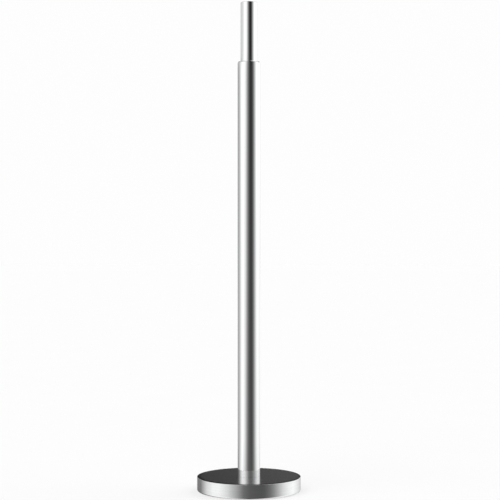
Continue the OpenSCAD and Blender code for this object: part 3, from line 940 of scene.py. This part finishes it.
# expander sleeve: slotted, with grip rings outside
z_e0, z_e1 = bottom("expander_sleeve"), top("expander_sleeve")
z_c0, z_c1 = bottom("expander_cone"), top("expander_cone")
sleeve = groove(
    (
        [(24.72, z_e0, 0.3), (30.0, z_e0, 0.4), (30.95, z_e0 + 1, 0.3)],
        [(30.95, z_e1 - 1, 0.3), (30.0, z_e1, 0.3), (6.5, z_e1, 0.4), (6.5, z_e1 - 8, 0.4), (18.9, z_e1 - 8, 1.0), (18.9, z_c1, 0.3)],
    ),
    30.95, z_e0, z_e1 - 2, 0.35, 1.4, 4.0, z_e0 + 4,
)
sleeve = turned("expander_sleeve_slotted", sleeve, 160, 2)
slots = [block(14.8, 40, -2, 2, z_e0 - 1, z_e1 - 16, 90 * k) for k in range(4)]
slots += [rod(2.0, 14.8, 40, z_e1 - 16, 90 * k, 32) for k in range(4)]
combine(sleeve, slots, angle=30.0)
piece(sleeve, "acetal", "lock_sleeve", "pale_plastic", "expander_sleeve")

# expander cone with its two keys
cone = turned("expander_cone_keyed", [(6, z_c0, 0.5), (24.8, z_c0, 0.6), (18.8, z_c1, 0.6), (6, z_c1, 0.5)], 128, 4)
combine(cone, [block(12.8, 30, -1.8, 1.8, z_c0 + 0.005, z_c1 - 2, 180 * k) for k in range(2)], "UNION", 30.0)
piece(cone, "alu", "lock_cone", "aluminium", "expander_cone")

# --------------------------------------------------------------------- floor
bm = bmesh.new()
bmesh.ops.create_circle(bm, cap_ends=True, segments=128, radius=60.0)
floor = link("floor", bm)
fm = Tree("studio_floor")
tone = fm.remap(fm.noise(fm.scaled((3, 3, 3)), 1.0, 2.0, 0.5), 0.3, 0.7, 0.0, 1.0)
# a pale acrylic table top, lit mostly from below as product tables are, so shadows on it stay faint
pale = fm.mix(tone, (0.857, 0.857, 0.857), (0.863, 0.863, 0.863))
glow = fm.mix(tone, (0.998, 0.998, 0.998), (1.0, 1.0, 1.0))
fm.set(Base_Color=fm.mix(0.60, pale, (0.0, 0.0, 0.0)), Roughness=0.9, Specular_IOR_Level=0.0)
fm.set(Emission_Color=glow, Emission_Strength=0.602)
floor.data.materials.append(fm.mat)
floor.visible_glossy = False

# --------------------------------------------------------------------- world
# A studio of tall pale and dark cards round the stand, as a function of direction.
world = bpy.data.worlds.new("studio")
bpy.context.scene.world = world
world.use_nodes = True
t = world.node_tree
t.nodes.clear()


def w_node(kind, **props):
    n = t.nodes.new(kind)
    for k, v in props.items():
        setattr(n, k, v)
    return n


def w_put(s, v):
    if isinstance(v, bpy.types.NodeSocket):
        t.links.new(v, s)
    else:
        s.default_value = v


def w_math(op, a, b=0.0, clamp=False):
    n = w_node("ShaderNodeMath", operation=op, use_clamp=clamp)
    w_put(n.inputs[0], a)
    w_put(n.inputs[1], b)
    return n.outputs[0]


def w_step(v, a, b, c=0.0, d=1.0, kind="SMOOTHSTEP"):
    n = w_node("ShaderNodeMapRange", interpolation_type=kind)
    w_put(n.inputs["Value"], v)
    for s, x in zip(("From Min", "From Max", "To Min", "To Max"), (a, b, c, d)):
        w_put(n.inputs[s], x)
    return n.outputs[0]


def w_lerp(f, a, b):
    return w_math("ADD", w_math("MULTIPLY", a, w_math("SUBTRACT", 1.0, f)), w_math("MULTIPLY", b, f))


d = w_node("ShaderNodeSeparateXYZ")
w_put(d.inputs[0], w_node("ShaderNodeTexCoord").outputs["Generated"])
dx, dy, dz = d.outputs
azimuth = w_math("ARCTAN2", dx, w_math("MULTIPLY", dy, -1.0))
where = w_math("ADD", w_math("DIVIDE", azimuth, 2 * math.pi), 0.5)


def cards(table):
    """Brightness round the stand: degrees from the front, positive to the right."""
    ramp = w_node("ShaderNodeValToRGB")
    w_put(ramp.inputs[0], where)
    ramp.color_ramp.interpolation = "LINEAR"
    els = ramp.color_ramp.elements
    while len(els) > 1:
        els.remove(els[-1])
    for i, (deg, val) in enumerate(table):
        e = els[0] if i == 0 else els.new(deg / 360 + 0.5)
        e.position = deg / 360 + 0.5
        e.color = (val, val, val, 1.0)
    return ramp.outputs[0]


near_floor = cards(
    [
        (-180, 0.24), (-155, 0.180), (-134, 0.195), (-119, 0.440), (-106, 0.700), (-96, 0.784),
        (-87, 0.896), (-70, 0.896), (-61, 0.807), (-54, 0.73), (-47, 0.645), (-40, 0.527),
        (-33, 0.429), (-25, 0.319), (-19, 0.235), (-12, 0.147), (-6, 0.122), (1, 0.098),
        (14, 0.087), (28, 0.082), (35, 0.09), (42, 0.12), (49, 0.162), (57, 0.242),
        (64, 0.352), (72, 0.491), (81, 0.658), (90, 0.768), (100, 0.871), (116, 0.956),
        (139, 0.75), (180, 0.38),
    ]
)
low = cards(
    [
        (-180, 0.30), (-150, 0.36), (-134, 0.418), (-112, 0.456), (-96, 0.672), (-82, 0.95),
        (-69, 1.06), (-57, 0.96), (-46, 0.80), (-35, 0.60), (-25, 0.397), (-15, 0.231),
        (-4.5, 0.133), (5.5, 0.087), (16, 0.068), (26, 0.060), (36, 0.085), (47, 0.165),
        (58, 0.328), (70, 0.565), (83, 0.823), (97, 1.0), (114, 0.956), (136, 0.87), (180, 0.70),
    ]
)
level = cards(
    [
        (-180, 0.30), (-150, 0.35), (-134, 0.39), (-112, 0.48), (-96, 0.76), (-82, 1.02),
        (-57, 1.08), (-46, 0.97), (-35, 0.82), (-25, 0.565), (-15, 0.305), (-4.5, 0.144),
        (5.5, 0.060), (16, 0.030), (26, 0.035), (36, 0.065), (47, 0.174), (58, 0.40),
        (70, 0.716), (83, 1.02), (97, 1.08), (140, 1.06), (180, 0.90),
    ]
)
high = cards(
    [
        (-180, 0.60), (-126, 0.65), (-101, 0.66), (-81, 0.82), (-64, 1.06), (-48, 1.05),
        (-34, 0.95), (-20, 0.52), (-6, 0.195), (8, 0.034), (22, 0.010), (36, 0.055),
        (51, 0.29), (67, 0.76), (84, 1.06), (140, 1.06), (180, 0.95),
    ]
)
steep = cards(
    [
        (-180, 0.12), (-166, 0.06), (-142, 0.045), (-128, 0.12), (-116, 0.42), (-104, 0.82), (-90, 1.0),
        (-70, 1.02), (-58, 0.92), (-46, 0.75), (-34, 0.50), (-24, 0.30), (-14, 0.16), (-4, 0.09),
        (8, 0.06), (24, 0.05), (36, 0.07), (46, 0.13), (57, 0.27), (70, 0.60), (84, 0.92),
        (100, 1.02), (120, 1.0), (138, 0.86), (152, 0.60), (166, 0.32), (180, 0.12),
    ]
)
look = w_lerp(w_step(dz, -0.172, -0.140, kind="LINEAR"), near_floor, low)
look = w_lerp(w_step(dz, -0.315, -0.200), steep, look)
look = w_lerp(w_step(dz, -0.134, 0.095, kind="LINEAR"), look, level)
look = w_lerp(w_step(dz, 0.137, 0.142, kind="LINEAR"), look, high)
look = w_math("MULTIPLY", look, 1.15)
# light that reaches the base's top by way of the post is softer: the cards are near
bounce = cards(
    [
        (-180, 0.10), (-136, 0.16), (-114, 0.37), (-97, 0.72), (-83, 1.10), (-70, 1.27), (-58, 1.26),
        (-46, 1.18), (-35, 0.97), (-25, 0.70), (-14, 0.46), (-4, 0.28), (6, 0.19), (16, 0.16), (27, 0.18),
        (37, 0.23), (48, 0.33), (60, 0.49), (72, 0.72), (85, 0.98), (100, 1.22), (118, 1.18), (142, 0.78), (180, 0.34),
    ]
)
light_path = w_node("ShaderNodeLightPath")
look = w_lerp(w_step(light_path.outputs["Glossy Depth"], 1.4, 1.6, kind="LINEAR"), look, bounce)
# above the cards the studio is dim, and its pale ceiling starts higher up
ceiling = look
look = w_lerp(w_step(dz, 0.215, 0.32), look, w_math("ADD", w_math("MULTIPLY", look, 0.16), 0.05))
look = w_lerp(w_step(dz, 0.48, 0.56), look, ceiling)
look = w_lerp(w_step(dz, 0.955, 0.985), look, 0.12)
# the dark doorway behind the stand, which the base's top mirrors
flat = w_math("SQRT", w_math("ADD", w_math("MULTIPLY", dx, dx), w_math("MULTIPLY", dy, dy)))
back = w_step(w_math("DIVIDE", dy, flat), 0.955, 0.980)
door = w_math("MULTIPLY", back, w_step(dz, -0.05, 0.0))
door = w_math("MULTIPLY", door, w_step(dz, 0.93, 0.97, 1.0, 0.0))
shade = w_math("ADD", w_step(dz, 0.19, 0.30, 0.084, 0.038), w_math("MULTIPLY", dx, 0.50))
shade = w_math("MULTIPLY", shade, w_step(w_math("ABSOLUTE", dx), 0.042, 0.075, 1.0, 0.45))
shade = w_math("MULTIPLY", shade, w_step(dz, 0.06, 0.13, 0.5, 1.0))
look = w_lerp(door, look, shade)
scene_bg = w_node("ShaderNodeBackground")
w_put(scene_bg.inputs["Color"], look)
seen_bg = w_node("ShaderNodeBackground")
seen_bg.inputs["Color"].default_value = (0.985, 0.985, 0.985, 1.0)
mixer = w_node("ShaderNodeMixShader")
w_put(mixer.inputs[0], light_path.outputs["Is Camera Ray"])
w_put(mixer.inputs[1], scene_bg.outputs[0])
w_put(mixer.inputs[2], seen_bg.outputs[0])
w_put(w_node("ShaderNodeOutputWorld").inputs[0], mixer.outputs[0])

# -------------------------------------------------------------------- lights
# two very wide soft lights, from the front left and the back right
for name, turn, tilt, watts in (("soft_key", -35, 38, 1.20), ("soft_fill", 120, 42, 0.90)):
    data = bpy.data.lights.new(name, "SUN")
    data.energy = watts
    data.angle = math.radians(60)
    ob = bpy.data.objects.new(name, data)
    bpy.context.scene.collection.objects.link(ob)
    ob.rotation_euler = (math.radians(tilt), 0, math.radians(turn))
    ob.visible_glossy = False

scene = bpy.context.scene
scene.view_settings.view_transform = "Standard"
scene.view_settings.look = "None"
